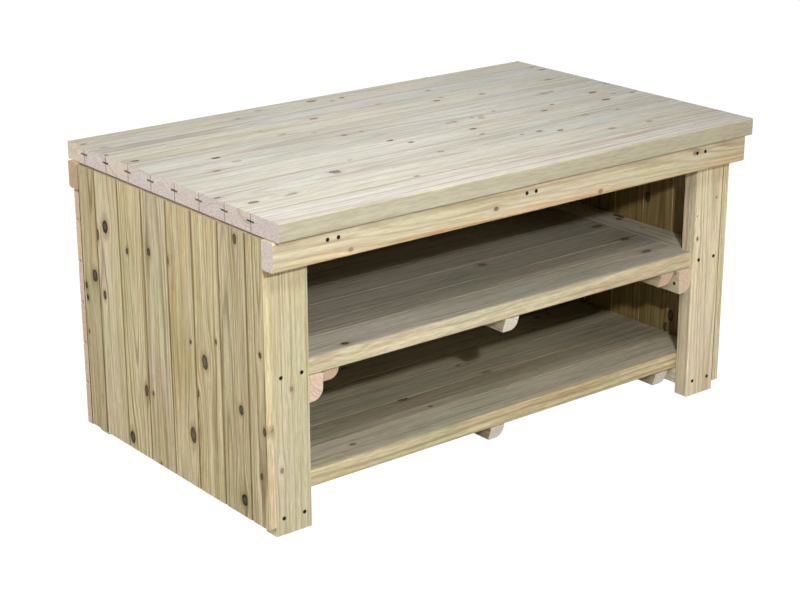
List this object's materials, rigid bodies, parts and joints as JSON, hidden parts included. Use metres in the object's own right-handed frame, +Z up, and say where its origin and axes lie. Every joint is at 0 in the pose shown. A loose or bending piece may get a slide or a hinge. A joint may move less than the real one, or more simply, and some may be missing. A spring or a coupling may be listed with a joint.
{
  "type": "potting bench",
  "caption": "Heavy timber potting bench with a boarded worktop, clad ends and back, an open front and two board shelves.",
  "frame": {"origin": "floor level, under the middle of the overall bounding box", "axes": "+X to the right along the bench as seen from the open front, +Y to the back, +Z up"},
  "size_m": [1.531, 0.928, 0.776],
  "materials": {
    "worktop_timber": "planed, pressure treated, weather pale",
    "frame_timber": "planed, pressure treated",
    "cladding_timber": "planed, pressure treated, knotty",
    "shelf_timber": "planed, pressure treated",
    "loose_tongue": "sawn",
    "fixings": "dull coated"
  },
  "bodies": {
    "root": {"worktop_board_1": "worktop_timber", "worktop_board_2": "worktop_timber", "worktop_board_3": "worktop_timber", "worktop_board_4": "worktop_timber", "worktop_board_5": "worktop_timber", "worktop_board_6": "worktop_timber", "worktop_board_7": "worktop_timber", "worktop_board_8": "worktop_timber", "worktop_board_9": "worktop_timber", "worktop_tongues": "loose_tongue", "front_top_rail": "frame_timber", "rear_top_rail": "frame_timber", "front_left_leg": "frame_timber", "front_right_leg": "frame_timber", "rear_left_leg": "frame_timber", "rear_right_leg": "frame_timber", "left_cross_bearer": "frame_timber", "middle_cross_bearer": "frame_timber", "right_cross_bearer": "frame_timber", "left_top_side_rail": "frame_timber", "left_middle_side_rail": "frame_timber", "left_bottom_side_rail": "frame_timber", "right_top_side_rail": "frame_timber", "right_middle_side_rail": "frame_timber", "right_bottom_side_rail": "frame_timber", "left_cladding_1": "cladding_timber", "left_cladding_2": "cladding_timber", "left_cladding_3": "cladding_timber", "left_cladding_4": "cladding_timber", "left_cladding_5": "cladding_timber", "left_cladding_6": "cladding_timber", "left_cladding_7": "cladding_timber", "left_cladding_8": "cladding_timber", "right_cladding_1": "cladding_timber", "right_cladding_2": "cladding_timber", "right_cladding_3": "cladding_timber", "right_cladding_4": "cladding_timber", "right_cladding_5": "cladding_timber", "right_cladding_6": "cladding_timber", "right_cladding_7": "cladding_timber", "right_cladding_8": "cladding_timber", "back_board_1": "cladding_timber", "back_board_2": "cladding_timber", "back_board_3": "cladding_timber", "back_board_4": "cladding_timber", "back_board_5": "cladding_timber", "back_board_6": "cladding_timber", "mid_shelf_boards": "shelf_timber", "lower_shelf_boards": "shelf_timber", "shelf_tongues": "loose_tongue", "left_shelf_bearer": "frame_timber", "right_shelf_bearer": "frame_timber", "mid_shelf_battens": "frame_timber", "lower_shelf_battens": "frame_timber", "frame_screws": "fixings", "bearer_screws": "fixings", "worktop_screws": "fixings", "shelf_screws": "fixings", "cladding_nails": "fixings"}
  },
  "joints": []
}
